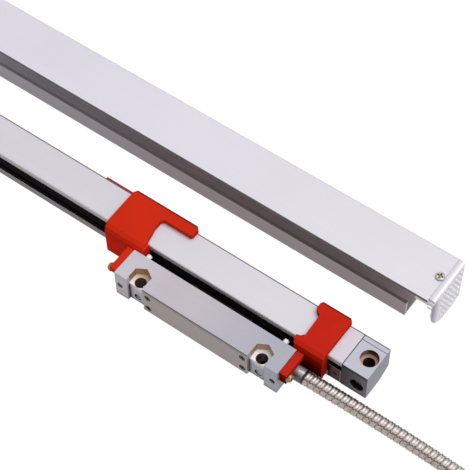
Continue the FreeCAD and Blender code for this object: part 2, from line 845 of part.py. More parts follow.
# Red transport brackets
bracket_low = d.scale_height + d.bracket_gap
bracket_top = bracket_low + d.bracket_thickness
hook_near = far + d.bracket_gap
hook_far = hook_near + d.hook_thickness
skirt_near = head_back + d.bracket_gap
skirt_far = skirt_near + d.skirt_thickness
rib_far = near - d.bracket_gap
lug_bar = d.lug_top - d.lug_height
lug_near = head_front + 1
rail_top = d.scale_height - 0.1
flange_edge = hook_far - 7.2


def bracket(label, outline, hook, skirt, foot, ribs, lug, lug_end, lug_foot, rail):
    steps = [
        ("pad", "XY", [outline], bracket_low, bracket_top),
        ("pad", "XZ", [rectangle(hook[0], hook[1], d.hook_bottom, bracket_top)], hook_near, hook_far),
        ("pad", "XZ", [rectangle(skirt[0], skirt[1], foot, bracket_top - 1.5)], skirt_near, skirt_far),
    ]
    for low, high in ribs:
        steps.append(("pad", "XZ", [rectangle(low, high, foot, bracket_low + 1)],
                      skirt_far - 0.5, rib_far))
    steps.append(("pad", "YZ", [[
        (lug_end, lug_foot), (lug_near + 5.8, lug_foot), (lug_near + 7, lug_bar), (skirt_far, lug_bar),
        (skirt_far, d.lug_top), (lug_end, d.lug_top),
    ]], *lug))
    if rail:
        steps.append(("pad", "XZ", [rectangle(rail[0], rail[1], d.hook_bottom, rail_top)],
                      hook_near, hook_near + d.rail_thickness))
    steps.append(("cut", "YZ", [("circle", bracket_screw_y, d.bracket_screw_level, 1.5)],
                  lug[0] - 1, lug[1] + 1))
    steps.append(("cut", "YZ", [[
        (skirt_near - 1, bracket_top - 4.6), (skirt_near, bracket_top - 3.4),
        (skirt_near + 1.2, bracket_top - 1.2), (skirt_near + 3.6, bracket_top),
        (skirt_near + 3.6, bracket_top + 1), (skirt_near - 1, bracket_top + 1),
    ]], outline[0][0] - 30, outline[0][0] + 60))
    return shape_body(label, *steps)


left = head_left
bracket(
    "left_bracket",
    [(left - 21.2, skirt_near), (left + 5.4, skirt_near), (left + 3.9, skirt_near + 6),
     (left + 1.6, skirt_near + 16.4), (left + 1.6, flange_edge - 1.5),
     (left + 3.2, flange_edge), (left + 21.2, flange_edge),
     (left + 22, flange_edge + 1), (left + 22, hook_far - 1.4), (left + 20.6, hook_far),
     (left - 21.2, hook_far), (left - 22.8, hook_far - 2.2), (left - 22.4, skirt_near + 4.6)],
    (left - 21.2, left + 20.6),
    (left - 21.2, left + 5.4),
    d.skirt_foot,
    [(left - 21.2, left - 18.6), (left + 2.2, left + 5.4)],
    (left - d.bracket_gap - d.lug_thickness, left - d.bracket_gap),
    lug_near + 0.9,
    lug_bar,
    (left - 43, left - 20),
)
right = head_right
bracket(
    "right_bracket",
    [(right - 2.2, skirt_near), (right + 15.6, skirt_near), (right + 15.2, skirt_near + 5),
     (right + 15.2, hook_far - 1.4), (right + 13.8, hook_far), (right - 3.8, hook_far),
     (right - 4.9, hook_far - 1.4), (right - 4.9, hook_far - 5), (right - 3.6, hook_far - 6.4),
     (right - 1, hook_far - 8), (right - 0.4, skirt_near + 8.2), (right - 2.2, skirt_near + 6.2),
     (right - 4.4, skirt_near + 5.6), (right - 4.4, skirt_near + 3.6)],
    (right - 3.8, right + 13.8),
    (right - 2.2, right + 15.6),
    d.skirt_foot + 1.5,
    [(right - 2.2, right + 0.8), (right + 12.4, right + 15.4)],
    (right + d.bracket_gap, right + d.bracket_gap + d.lug_thickness),
    lug_near + 0.9,
    d.lug_foot,
    None,
)

# Brass screws of the brackets and the white pins on the back of the head
lug_face = d.bracket_gap + d.lug_thickness
group("bracket_screws", [
    cross_screw("left_bracket_screw", "x", (left - lug_face, bracket_screw_y, d.bracket_screw_level),
                d.bracket_screw_dia, 2.2, 3, lug_face + 4.5, False),
    cross_screw("right_bracket_screw", "-x", (right + lug_face, bracket_screw_y, d.bracket_screw_level),
                d.bracket_screw_dia, 2.2, 3, lug_face + 4.5, False),
])
group("spacer_pins", [
    cylinder("left_spacer_pin", "y", (head_left + d.pin_inset, head_back, d.pin_level),
             d.pin_dia / 2, d.pin_length),
    cylinder("right_spacer_pin", "y", (head_right - d.pin_inset, head_back, d.pin_level),
             d.pin_dia / 2, d.pin_length),
])

# Cable ferrule, screwed into the end of the head
ferrule_end = head_right + d.ferrule_length
shape_body(
    "cable_ferrule",
    ("pad", "YZ", [("circle", cable_y, d.cable_level, cable_radius - 0.5),
                   ("circle", cable_y, d.cable_level, d.wire_bore_dia / 2)],
     head_right - d.ferrule_stub, ferrule_end),
    ("pad", "YZ", [("circle", cable_y, d.cable_level, cable_radius),
                   ("circle", cable_y, d.cable_level, cable_radius - 0.6)],
     head_right, ferrule_end),
)


def bent_path(points):
    """Straight runs joined by tangent arcs, each as large as its runs allow."""
    edges = []
    start = points[0]
    for place_in, (before, corner, after) in enumerate(zip(points, points[1:], points[2:])):
        come = (corner - before).normalize()
        leave = (after - corner).normalize()
        turn = come.getAngle(leave)
        shorter = min((corner - before).Length, (after - corner).Length)
        trim = 0.45 * shorter
        radius = trim / math.tan(turn / 2)
        arc_start = corner - come * trim
        arc_end = corner + leave * trim
        bisector = (leave - come).normalize()
        middle_point = corner + bisector * (radius / math.cos(turn / 2) - radius)
        print("cable bend", place_in, "radius", round(radius, 1), "turn", round(math.degrees(turn), 1))
        edges.append(Part.LineSegment(start, arc_start).toShape())
        edges.append(Part.Arc(arc_start, middle_point, arc_end).toShape())
        start = arc_end
    edges.append(Part.LineSegment(start, points[-1]).toShape())
    return Part.Wire(edges)


def tube(label, points, radius):
    """A round solid along a bent path, as a feature placed at the head's cable exit."""
    wire = bent_path(points)
    direction = (points[1] - points[0]).normalize()
    ring = Part.Wire([Part.Circle(points[0], direction, radius).toShape()])
    solid = wire.makePipeShell([ring], True, False)
    print(label, "length", round(wire.Length, 2),
          "volume ratio", round(solid.Volume / (math.pi * radius ** 2 * wire.Length), 4))
    feature = document.addObject("Part::Feature", label)
    feature.Shape = solid
    feature.Label = label
    nodes[label] = feature
    return feature


# Armoured cable: the stretch that the photograph shows and its way to the coil
exit_x = ferrule_end.value
exit_y = cable_y.value
exit_z = d.cable_level.value
lie = cable_radius.value
coil_inner_turn = d.coil_outer_turn - d.turn_pitch * 4.5
coil_height = d.cable_dia * 2 + 0.05
coil_x = exit_x + 285.5
coil_y = exit_y + 25.2
route = [
    Vector(exit_x, exit_y, exit_z),
    Vector(exit_x + 40, exit_y + 1.2, exit_z - 1.2),
    Vector(exit_x + 84, exit_y + 1.9, exit_z - 4),
    Vector(exit_x + 128, exit_y + 0.1, lie + 0.15),
    Vector(exit_x + 172, exit_y - 7.5, lie + 0.04),
    Vector(exit_x + 212, exit_y - 20.5, lie + 0.02),
    Vector(exit_x + 247.5, exit_y - 34.7, lie + 0.02),
    Vector(exit_x + 281.5, coil_y - d.coil_outer_turn.value, lie + 0.02),
]
tube("armoured_cable", route, lie)

coil = document.addObject("Part::Cut", "coil")
coil.Base = cylinder("coil_outside", "z", (as_size(coil_x), as_size(coil_y), as_size(0)),
                     d.coil_outer_turn + cable_radius, coil_height)
coil.Tool = cylinder("coil_inside", "z", (as_size(coil_x), as_size(coil_y), as_size(-1)),
                     coil_inner_turn - cable_radius, coil_height + 2)
keep("cable_coil", coil)

# Tail of the cable, which rises onto the coil, and its nine-pin plug, which lies there
plug_x = coil_x - 46.5
plug_y = coil_y + 20.75
plug_z = coil_height.value + 7.8
tail = [
    Vector(coil_x + 24.6, coil_y + 60.9, lie * 3 + 0.05),
    Vector(coil_x + 3.5, coil_y + 67.9, lie * 3 + 0.7),
    Vector(coil_x - 18.8, coil_y + 65.2, lie * 3 + 4.3),
    Vector(coil_x - 38.6, coil_y + 55.3, lie * 3 + 9.1),
    Vector(plug_x, coil_y + 41.5, lie * 3 + 11.8),
    Vector(plug_x, plug_y, plug_z),
]
tube("cable_tail", tail, lie)
hood = box("hood_block", (plug_x - 16.5, plug_y - 36, plug_z - 7.75),
           (plug_x + 16.5, plug_y, plug_z + 7.75))
hollow = box("hood_hollow", (plug_x - 14.5, plug_y - 37, plug_z - 5.75),
             (plug_x + 14.5, plug_y - 6, plug_z + 5.75))
knobs = []
knob_holes = []
for number, offset in enumerate((-12.5, 12.5)):
    knob_at = (as_size(plug_x + offset), as_size(plug_y), as_size(plug_z))
    knob = cylinder(f"knob_{number}", "y", knob_at, 2.6, 5)
    stem = cylinder(f"knob_stem_{number}", "-y", knob_at, 1.2, 41)
    knobs.append(fuse(f"plug_screw_{number}", [knob, stem]))
    knob_holes.append(cylinder(f"knob_hole_{number}", "-y", knob_at, 1.2, 60))
flange = box("plug_flange", (plug_x - 14.2, plug_y - 34, plug_z - 5.5),
             (plug_x + 14.2, plug_y - 33, plug_z + 5.5))
shell = box("plug_shell_block", (plug_x - 8.4, plug_y - 41.5, plug_z - 4.1),
            (plug_x + 8.4, plug_y - 33.5, plug_z + 4.1))
shell_hollow = box("plug_shell_hollow", (plug_x - 7.9, plug_y - 42.5, plug_z - 3.6),
                   (plug_x + 7.9, plug_y - 32, plug_z + 3.6))
keep("plug_hood", cut("hood", hood, [hollow] + knob_holes))
keep("plug_shell", cut("shell", fuse("shell_body", [flange, shell]), [shell_hollow] + knob_holes))
group("plug_screws", knobs)
keep("plug_insert", box("insert", (plug_x - 7.9, plug_y - 36, plug_z - 3.6),
                        (plug_x + 7.9, plug_y - 31, plug_z + 3.6)))
pins = []
for row, (count, level) in enumerate(((5, 1.42), (4, -1.42))):
    for number in range(count):
        pin_x = plug_x + (number - (count - 1) / 2) * 2.77
        pins.append(cylinder(f"contact_{row}_{number}", "-y",
                             (as_size(pin_x), as_size(plug_y - 36), as_size(plug_z + level)), 0.5, 4.6))
group("plug_contacts", pins)

# Aluminium cover: a channel that opens towards the scale, with a perforated cap at each end
plate_end = cover_end - d.cap_fold
channel_end = cover_end - d.channel_cutback
lip_near = cover_near + d.lip_setback
shape_body(
    "cover_channel",
    ("pad", "YZ", [[
        (cover_near, d.cover_height), (cover_near, d.cover_height - d.cover_sheet),
        (cover_far - d.cover_sheet, d.cover_height - d.cover_sheet),
        (cover_far - d.cover_sheet, d.cover_sheet), (lip_near + d.cover_sheet, d.cover_sheet),
        (lip_near + d.cover_sheet, d.lip_height), (lip_near, d.lip_height), (lip_near, 0),
        (cover_far, 0), (cover_far, d.cover_height),
    ]], -plate_end, plate_end),
    ("cut", "XZ", [rectangle(channel_end, plate_end + 1, -1, d.cover_height - d.cover_sheet),
                   rectangle(-plate_end - 1, -channel_end, -1, d.cover_height - d.cover_sheet)],
     lip_near - 1, cover_far + 1),
    ("cut", "XY", [("circle", cover_end - d.cover_screw_inset, cover_near + d.cover_depth / 2, 1.6),
                   ("circle", -cover_end + d.cover_screw_inset, cover_near + d.cover_depth / 2, 1.6)],
     d.cover_height - d.cover_sheet - 1, d.cover_height + 1),
)


def far_top_edge(edge):
    middle = edge.CenterOfMass
    level = abs(middle.z - d.cover_height.value) < 0.01
    return parallel_to(edge, Vector(1, 0, 0)) and level and abs(middle.y - cover_far.value) < 0.01


round_edges(nodes["cover_channel"], d.cover_edge_radius, far_top_edge)
cap_fold_near = cover_near + 1.4
cap_inside = cover_end - d.cap_sheet / 2
cap_outline = [
    (cap_fold_near, d.cover_height), (cap_fold_near, d.cover_height - d.cap_bend - 0.2),
    (cover_near - 0.2, d.cover_height - d.cap_bend - 2.2),
    (cover_near - 0.6, d.cover_height - 11.6), (cover_near + 1.6, 13.8), (cover_near + 5.4, 7),
    (cover_near + 12.6, 1.2), (cover_near + 25, 0), (cover_far - 0.8, 1.4),
    (cover_far - 0.8, d.cover_height),
]
flange_top = d.cover_height - d.cover_sheet
flange_bottom = flange_top - d.cap_flange_thickness
hole_loops = []
row_pitch = d.cap_hole_pitch.value * math.sqrt(3) / 2
highest_row = flange_bottom.value - d.cap_hole_dia.value / 2 - 0.3
widest = d.cover_depth.value - 0.8 - d.cap_hole_margin.value
rows = int((highest_row - 3.4) / row_pitch) + 1
columns = int(widest / d.cap_hole_pitch.value)
for row in range(rows):
    level = highest_row - row * row_pitch
    for number in range(columns):
        inward = (number + 0.5 * (row % 2)) * d.cap_hole_pitch.value
        across = widest - inward
        if across > 5.5 + (highest_row - level) * 0.32:
            hole_loops.append(("circle", cover_near + across, level, d.cap_hole_dia / 2))
flange_end = cover_end - d.cap_fold - d.cap_flange + 1.7
cap_screws = []
for side, name in ((1, "right"), (-1, "left")):
    cap = shape_body(
        f"{name}_cover_cap",
        ("pad", "YZ", [cap_outline], *span(cover_end - d.cap_sheet, cover_end, side)),
        ("pad", "XY", [mirrored(rectangle(flange_end, cap_inside, cover_near + 0.4,
                                          cover_far - 2.4), side)], flange_bottom, flange_top),
        ("pad", "XY", [mirrored(rectangle(plate_end + 0.1, cap_inside, cap_fold_near,
                                          cover_far - 0.8), side)], flange_top - 0.5, d.cover_height),
        ("pad", "XY", [mirrored(rectangle(cover_end - 2.9, cap_inside, cover_near - 0.8,
                                          cover_near + 1), side)], flange_bottom - 0.7, flange_bottom + 1),
        ("cut", "YZ", hole_loops, *span(cover_end - d.cap_sheet - 0.5, cover_end + 0.5, side)),
        ("cut", "XY", [mirrored(("circle", cover_end - d.cover_screw_inset,
                                 cover_near + d.cover_depth / 2, 1.6), side)],
         flange_bottom - 1, flange_top + 1),
    )
    edge_x = cover_end.value * side

    def outer_fold(edge, x=edge_x):
        middle = edge.CenterOfMass
        level = abs(middle.z - d.cover_height.value) < 0.01
        return parallel_to(edge, Vector(0, 1, 0)) and level and abs(middle.x - x) < 0.01

    round_edges(cap, d.cap_bend, outer_fold)
    cap_screws.append(cross_screw(
        f"{name}_cap_screw", "-z",
        ((cover_end - d.cover_screw_inset) * side, cover_near + d.cover_depth / 2, d.cover_height),
        d.cover_screw_dia, 1.3, 3.2, d.cover_sheet + d.cap_flange_thickness, False))
group("cover_cap_screws", cap_screws)

document.recompute()

for item in document.Objects:
    for state in item.State:
        if state in ("Invalid", "Error"):
            raise RuntimeError(f"{item.Label} failed: {item.State}")

os.makedirs("parts", exist_ok=True)
for label, item in nodes.items():
    shape = item.Shape
    if shape.isNull() or not shape.isValid() or not shape.Solids:
        raise RuntimeError(f"{label} has no valid shape")
    shape.exportStep(f"parts/{label}.step")
print(len(nodes), "sub-parts written")
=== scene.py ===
import bpy
import json
import math
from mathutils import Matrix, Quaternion, Vector


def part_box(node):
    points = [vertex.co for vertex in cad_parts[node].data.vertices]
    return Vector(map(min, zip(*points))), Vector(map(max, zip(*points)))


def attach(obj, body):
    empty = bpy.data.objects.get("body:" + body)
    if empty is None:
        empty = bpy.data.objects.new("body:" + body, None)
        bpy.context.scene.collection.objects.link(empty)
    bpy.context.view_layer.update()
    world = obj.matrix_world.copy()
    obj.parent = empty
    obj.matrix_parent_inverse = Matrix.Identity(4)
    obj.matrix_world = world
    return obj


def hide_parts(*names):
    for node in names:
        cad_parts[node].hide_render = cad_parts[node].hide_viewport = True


# A linear glass scale on its back: reader head, red transport brackets, armoured cable, cover.
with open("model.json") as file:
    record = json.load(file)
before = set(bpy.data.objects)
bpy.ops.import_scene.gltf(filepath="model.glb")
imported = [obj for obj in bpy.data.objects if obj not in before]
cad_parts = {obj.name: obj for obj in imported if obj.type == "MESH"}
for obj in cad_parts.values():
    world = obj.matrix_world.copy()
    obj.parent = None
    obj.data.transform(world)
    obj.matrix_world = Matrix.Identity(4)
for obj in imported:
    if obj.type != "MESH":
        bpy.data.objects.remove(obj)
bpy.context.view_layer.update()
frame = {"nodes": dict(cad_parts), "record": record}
nodes = frame["nodes"]
scene = bpy.context.scene
scene.view_settings.view_transform = "Standard"


def link(obj):
    scene.collection.objects.link(obj)
    return obj


# Camera at the photograph's place, with its small roll
eye = Vector((0.3512, -0.3637, 0.7292))
aim = Vector((0.05673, 0.02779, 0.010))
camera = link(bpy.data.objects.new("camera", bpy.data.cameras.new("camera")))
camera.data.lens = 119.36
camera.data.sensor_width = 36
camera.data.clip_start = 0.02
camera.data.clip_end = 50
camera.location = eye
camera.rotation_mode = "QUATERNION"
level_turn = (aim - eye).to_track_quat("-Z", "Y")
camera.rotation_quaternion = level_turn @ Quaternion((0, 0, 1), math.radians(-1.0415))
scene.camera = camera

# The armoured hose: the route's points, then the coil and the tail, as one smooth line
EXIT = (0.1405, -0.0237, 0.0096)
route = [
    EXIT, (0.1805, -0.0225, 0.0084), (0.2245, -0.0218, 0.0056), (0.2685, -0.0236, 0.00445),
    (0.3125, -0.0312, 0.00434), (0.3525, -0.0442, 0.00432), (0.388, -0.0584, 0.00432),
    (0.422, -0.0642, 0.00432),
]
coil_centre = (0.426, 0.0015)
# The winding: angle in degrees, radius, height of the hose's middle
coil_keys = [
    (0, 0.0657, 0.00432), (1440, 0.0305, 0.00432), (1620, 0.0261, 0.01295), (1800, 0.03544, 0.01295),
    (3038, 0.0657, 0.01295),
]
tail = [
    (0.4506, 0.0624, 0.01295), (0.4295, 0.0694, 0.0136), (0.4072, 0.0667, 0.0172),
    (0.3874, 0.0568, 0.022), (0.3795, 0.043, 0.0247), (0.3795, 0.02225, 0.02505),
]
TURN_POINTS = 16


def coil_point(degrees):
    """The control point of the winding at an angle, anticlockwise from the -Y side."""
    for (a, radius_a, z_a), (b, radius_b, z_b) in zip(coil_keys, coil_keys[1:]):
        if a <= degrees <= b:
            share = (degrees - a) / (b - a)
            radius = radius_a + (radius_b - radius_a) * share
            z = z_a + (z_b - z_a) * share
    radius /= math.cos(math.pi / TURN_POINTS)
    turn = math.radians(degrees)
    return (coil_centre[0] + radius * math.sin(turn), coil_centre[1] - radius * math.cos(turn), z)


points = list(route)
step = 360 / TURN_POINTS
for number in range(int(coil_keys[-1][0] / step)):
    points.append(coil_point((number + 0.5) * step))
points += tail

line = bpy.data.curves.new("hose_line", "CURVE")
line.dimensions = "3D"
line.resolution_u = 16
spline = line.splines.new("NURBS")
spline.points.add(len(points) - 1)
for spot, place in zip(spline.points, points):
    spot.co = (*place, 1)
spline.order_u = 3
spline.use_endpoint_u = True
line_object = link(bpy.data.objects.new("hose_line", line))
bpy.context.view_layer.update()
line_mesh = bpy.data.meshes.new_from_object(line_object)
centreline = [vertex.co.copy() for vertex in line_mesh.vertices]
bpy.data.meshes.remove(line_mesh)
bpy.data.objects.remove(line_object)
bpy.data.curves.remove(line)

HOSE_RADIUS = 0.0043
HOSE_SIDES = 22
PITCH = 0.0038
STEPS_PER_PITCH = 9
RIB_DEPTH = 0.00075
# One turn of the strip: share of the pitch, height against the crown
RIB = [(0.0, -RIB_DEPTH), (0.08, -0.0002), (0.16, 0.0), (0.34, 0.0), (0.43, -0.0003), (0.5, -0.0004),
       (0.58, -0.0001), (0.72, -0.00006), (0.84, -0.0002), (0.94, -0.0006), (1.0, -RIB_DEPTH)]


def along_line(path, spacing):
    """Points, directions and distances at equal steps of the line."""
    places = []
    wanted = 0.0
    done = 0.0
    for a, b in zip(path, path[1:]):
        run = (b - a).length
        while wanted <= done + run and run > 0:
            places.append((a.lerp(b, (wanted - done) / run), (b - a).normalized(), wanted))
            wanted += spacing
        done += run
    return places


def rib_height(share):
    """The strip's height against the crown at a share of the pitch."""
    for (a, low), (b, high) in zip(RIB, RIB[1:]):
        if share <= b:
            return low + (high - low) * (share - a) / (b - a)


def ribbed_hose(name, path, sides):
    """A tube with helical ribs along a line, closed at both ends."""
    places = along_line(path, PITCH / STEPS_PER_PITCH)
    vertices = []
    heights = []
    turns = []
    side = Vector((0, 0, 1))
    for place, direction, distance in places:
        side = (side - direction * side.dot(direction)).normalized()
        other = direction.cross(side)
        for number in range(sides):
            angle = 2 * math.pi * number / sides
            height = rib_height((distance / PITCH + number / sides) % 1)
            spoke = side * math.cos(angle) + other * math.sin(angle)
            vertices.append(tuple(place + spoke * (HOSE_RADIUS + height)))
            heights.append(height / RIB_DEPTH + 1)
            turns.append(math.sin(angle))
    faces = []
    for ring in range(len(places) - 1):
        for number in range(sides):
            a = ring * sides + number
            b = ring * sides + (number + 1) % sides
            faces.append((a, b, b + sides, a + sides))
    faces.append(tuple(range(sides))[::-1])
    faces.append(tuple(range(len(vertices) - sides, len(vertices))))
    mesh = bpy.data.meshes.new(name)
    mesh.from_pydata(vertices, [], faces)
    mesh.polygons.foreach_set("use_smooth", [True] * len(faces))
    for attribute, values in (("height", heights), ("sideways", turns)):
        mesh.attributes.new(attribute, "FLOAT", "POINT").data.foreach_set("value", values)
    mesh.update()
    return link(bpy.data.objects.new(name, mesh))


hose = ribbed_hose("armoured_hose", centreline, HOSE_SIDES)
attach(hose, "reader")
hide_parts("armoured_cable", "cable_coil", "cable_tail")


# Materials: a small set of node helpers
class Tree:
    """A material with its nodes, added one by one and joined by their sockets."""

    def __init__(self, name):
        self.material = bpy.data.materials.new(name)
        self.material.use_nodes = True
        self.nodes = self.material.node_tree.nodes
        self.links = self.material.node_tree.links
        self.nodes.clear()
        self.base = None
        self.shader = self.add("ShaderNodeBsdfPrincipled")
        out = self.add("ShaderNodeOutputMaterial")
        self.links.new(self.shader.outputs[0], out.inputs["Surface"])
        self.place = self.add("ShaderNodeTexCoord").outputs["Object"]
        self.parts = self.add("ShaderNodeSeparateXYZ")
        self.links.new(self.place, self.parts.inputs[0])

    def add(self, kind, **settings):
        """A node with its settings."""
        node = self.nodes.new(kind)
        for key, value in settings.items():
            setattr(node, key, value)
        return node

    def put(self, socket, value):
        """Set an input to a value, or join it to another node's output."""
        if isinstance(value, bpy.types.NodeSocket):
            self.links.new(value, socket)
        else:
            socket.default_value = value

    def noise(self, scale, detail=2.0, stretch=None):
        """Noise between 0 and 1; stretch is its number of features per metre along x, y, z."""
        node = self.add("ShaderNodeTexNoise")
        node.inputs["Scale"].default_value = scale
        node.inputs["Detail"].default_value = detail
        node.inputs["Roughness"].default_value = 0.5
        source = self.place
        if stretch:
            mapping = self.add("ShaderNodeMapping")
            mapping.inputs["Scale"].default_value = stretch
            self.links.new(self.place, mapping.inputs["Vector"])
            source = mapping.outputs[0]
        self.links.new(source, node.inputs["Vector"])
        return node.outputs["Fac"]

    def math(self, kind, a, b=0.0):
        node = self.add("ShaderNodeMath", operation=kind)
        for socket, value in zip(node.inputs, (a, b)):
            self.put(socket, value)
        return node.outputs[0]

    def both(self, *masks):
        """1 where all the masks are 1."""
        result = masks[0]
        for mask in masks[1:]:
            result = self.math("MULTIPLY", result, mask)
        return result

    def but(self, mask):
        """1 where a mask is 0."""
        return self.math("SUBTRACT", 1.0, mask)

    def remap(self, value, low, high, to_low, to_high, smooth=False):
        """A value between two levels, stretched to two others and kept between them."""
        node = self.add("ShaderNodeMapRange")
        if smooth:
            node.interpolation_type = "SMOOTHSTEP"
        for socket, item in zip(node.inputs, (value, low, high, to_low, to_high)):
            self.put(socket, item)
        return node.outputs[0]

    def mix(self, share, a, b, kind="MIX"):
        """Colour a with a share of colour b over it."""
        node = self.add("ShaderNodeMix", data_type="RGBA", blend_type=kind)
        self.put(node.inputs[0], share)
        for socket, value in ((node.inputs[6], a), (node.inputs[7], b)):
            if isinstance(value, tuple) and len(value) == 3:
                value = (*value, 1)
            self.put(socket, value)
        return node.outputs[2]

    def axis(self, name):
        """One coordinate of the place, in metres."""
        return self.parts.outputs[name]

    def above(self, name, level, soft=0.00015):
        """1 beyond a level along X, Y or Z."""
        return self.remap(self.axis(name), level - soft, level + soft, 0.0, 1.0)

    def below(self, name, level, soft=0.00015):
        """1 short of a level along X, Y or Z."""
        return self.remap(self.axis(name), level - soft, level + soft, 1.0, 0.0)

    def ramp(self, name, start, end):
        """0 at one place along X, Y or Z, 1 at another."""
        return self.remap(self.axis(name), start, end, 0.0, 1.0)

    def outward(self, start, end):
        """0 at one distance from the middle of the scale, 1 at another."""
        return self.remap(self.math("ABSOLUTE", self.axis("X")), start, end, 0.0, 1.0)

    def far_rim(self, high):
        """1 on the upper far edge of a piece, where the looks lay painted shade."""
        return self.both(self.above("Y", high[1] - RIM_WIDTH), self.above("Z", high[2] - RIM_DROP))

    def near_bores(self, pattern, radius, soft=0.0001, axis="Y", level=None):
        """1 within a radius of a mount's two bores: upright, or along Y at a level of Z."""
        centre, offset = pattern
        from_centre = self.math("ABSOLUTE", self.math("SUBTRACT", self.axis("X"), centre.x))
        along = self.math("SUBTRACT", from_centre, offset)
        across = self.math("SUBTRACT", self.axis(axis), centre.y if level is None else level)
        squares = self.math("ADD", self.both(along, along), self.both(across, across))
        return self.remap(self.math("SQRT", squares), radius - soft, radius + soft, 1.0, 0.0)

    def facing(self, direction, low=0.6, high=0.9):
        """1 where the surface faces a direction of the row frame."""
        geometry = self.add("ShaderNodeNewGeometry")
        node = self.add("ShaderNodeVectorMath", operation="DOT_PRODUCT")
        self.links.new(geometry.outputs["True Normal"], node.inputs[0])
        node.inputs[1].default_value = direction
        return self.remap(node.outputs["Value"], low, high, 0.0, 1.0, True)

    def band(self, value, low, high, soft):
        """1 where a value lies between two levels."""
        return self.both(self.remap(value, low - soft, low + soft, 0.0, 1.0),
                         self.remap(value, high - soft, high + soft, 1.0, 0.0))

    def hollow(self, distance, low, high):
        """1 in slots and deep corners, 0 on open surfaces."""
        node = self.add("ShaderNodeAmbientOcclusion", samples=8)
        node.inputs["Distance"].default_value = distance
        return self.remap(node.outputs["AO"], low, high, 1.0, 0.0)

    def edges(self, radius):
        """The rounded normal, and 1 on convex or hollow edges."""
        bevel = self.add("ShaderNodeBevel", samples=6)
        bevel.inputs["Radius"].default_value = radius
        geometry = self.add("ShaderNodeNewGeometry")
        node = self.add("ShaderNodeVectorMath", operation="DOT_PRODUCT")
        self.links.new(bevel.outputs[0], node.inputs[0])
        self.links.new(geometry.outputs["Normal"], node.inputs[1])
        return bevel.outputs[0], self.remap(node.outputs["Value"], 0.995, 0.8, 0.0, 1.0)

    def bump(self, height, strength, distance, normal=None):
        """The normal of a relief, laid over another normal."""
        node = self.add("ShaderNodeBump")
        node.inputs["Strength"].default_value = strength
        node.inputs["Distance"].default_value = distance
        self.put(node.inputs["Height"], height)
        if normal is not None:
            self.links.new(normal, node.inputs["Normal"])
        return node.outputs[0]

    def set(self, **values):
        """Set or join the shader's inputs by their short names."""
        names = {"colour": "Base Color", "rough": "Roughness", "metal": "Metallic", "normal": "Normal",
                 "gloss": "Specular IOR Level", "ior": "IOR", "clear": "Transmission Weight",
                 "coat": "Coat Weight", "coat_rough": "Coat Roughness"}
        for key, value in values.items():
            if isinstance(value, tuple) and len(value) == 3:
                value = (*value, 1)
            self.put(self.shader.inputs[names[key]], value)
        return self

    def tint(self, mask, colour):
        """Multiply the base by a colour where a mask is 1."""
        self.base = self.mix(mask, self.base, colour, "MULTIPLY")
        return self.set(colour=self.base)

    def paint(self, mask, colour):
        """Lay a colour over the base where a mask is 1."""
        self.base = self.mix(mask, self.base, colour)
        return self.set(colour=self.base)


def scaled(colour, factor):
    """A colour made brighter or darker."""
    return tuple(min(1.0, part * factor) for part in colour)


METAL_EDGE = 0.0003
PLASTIC_EDGE = 0.0004
WORN_METAL = (0.93, 0.92, 0.93)


def metal(name, colour, rough, metallic, streak=None, depth=0.00002, wear=0.25, mottling=0.05,
          grain=2600.0, tint=None, gloss=0.4):
    """Matt anodised, brushed or milled metal: grain, long streaks, mottling and pale worn edges."""
    t = Tree(name)
    fine = t.noise(grain, 2.0)
    broad = t.noise(22.0, 3.0)
    lines = t.noise(1.0, 3.0, streak) if streak else fine
    share = t.math("ADD", t.math("MULTIPLY", broad, 0.55), t.math("MULTIPLY", lines, 0.45))
    share = t.remap(share, 0.3, 0.7, 0.0, 1.0)
    base = t.mix(share, scaled(colour, 1 - mottling), scaled(tint or colour, 1 + mottling))
    normal, edge_mask = t.edges(METAL_EDGE)
    worn = t.both(edge_mask, t.remap(t.noise(700.0, 3.0), 0.35, 0.65, 0.3, 1.0), wear)
    t.base = t.mix(worn, base, WORN_METAL)
    roughness = t.remap(t.math("ADD", fine, lines), 0.6, 1.4, rough - 0.06, rough + 0.06)
    height = t.math("ADD", t.math("MULTIPLY", fine, 0.4), lines)
    return t.set(colour=t.base, rough=roughness, metal=metallic, gloss=gloss,
                 normal=t.bump(height, 0.35, depth, normal))


def plastic(name, colour, rough, mottling=0.06, depth=0.00003, pale=None, wear=0.3, gloss=0.4):
    """Moulded plastic or rubber: fine orange peel, slight mottling, edges a little paler."""
    t = Tree(name)
    fine = t.noise(900.0, 3.0)
    broad = t.remap(t.noise(30.0, 2.0), 0.3, 0.7, 0.0, 1.0)
    base = t.mix(broad, scaled(colour, 1 - mottling), scaled(colour, 1 + mottling))
    normal, edge_mask = t.edges(PLASTIC_EDGE)
    t.base = t.mix(t.both(edge_mask, wear), base, pale or scaled(colour, 1.6))
    roughness = t.remap(fine, 0.3, 0.7, rough - 0.07, rough + 0.08)
    return t.set(colour=t.base, rough=roughness, gloss=gloss, normal=t.bump(fine, 0.3, depth, normal))


def mount(name):
    """The record's mount of that name."""
    return next(item for item in frame["record"]["mounts"] if item["name"] == name)


def bore_pattern(name):
    """The middle of a mount's two bores and their distance from it along X."""
    found = mount(name)
    return Vector(found["pos_m"]), found["dims"]["spacing_x_mm"] / 2000


TOWARDS_HEAD = (0, -1, 0)
CABLE_END = (1, 0, 0)
OTHER_END = (-1, 0, 0)
UPWARDS = (0, 0, 1)
scale_bores = bore_pattern("scale_mounting_holes")
head_bores = bore_pattern("reader_mounting_holes")
front_bore_level = mount("left_front_bore")["pos_m"][2]
housing_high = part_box("housing")[1]
block_low, block_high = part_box("right_end_block")
head_low, head_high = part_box("reader_block")
plate_low, plate_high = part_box("front_plate")
cover_low, cover_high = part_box("cover_channel")
cap_low, cap_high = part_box("right_cover_cap")
bracket_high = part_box("right_bracket")[1]
clamp_low, clamp_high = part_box("seal_clamps")
seal_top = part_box("upper_lip_seal")[1][2]
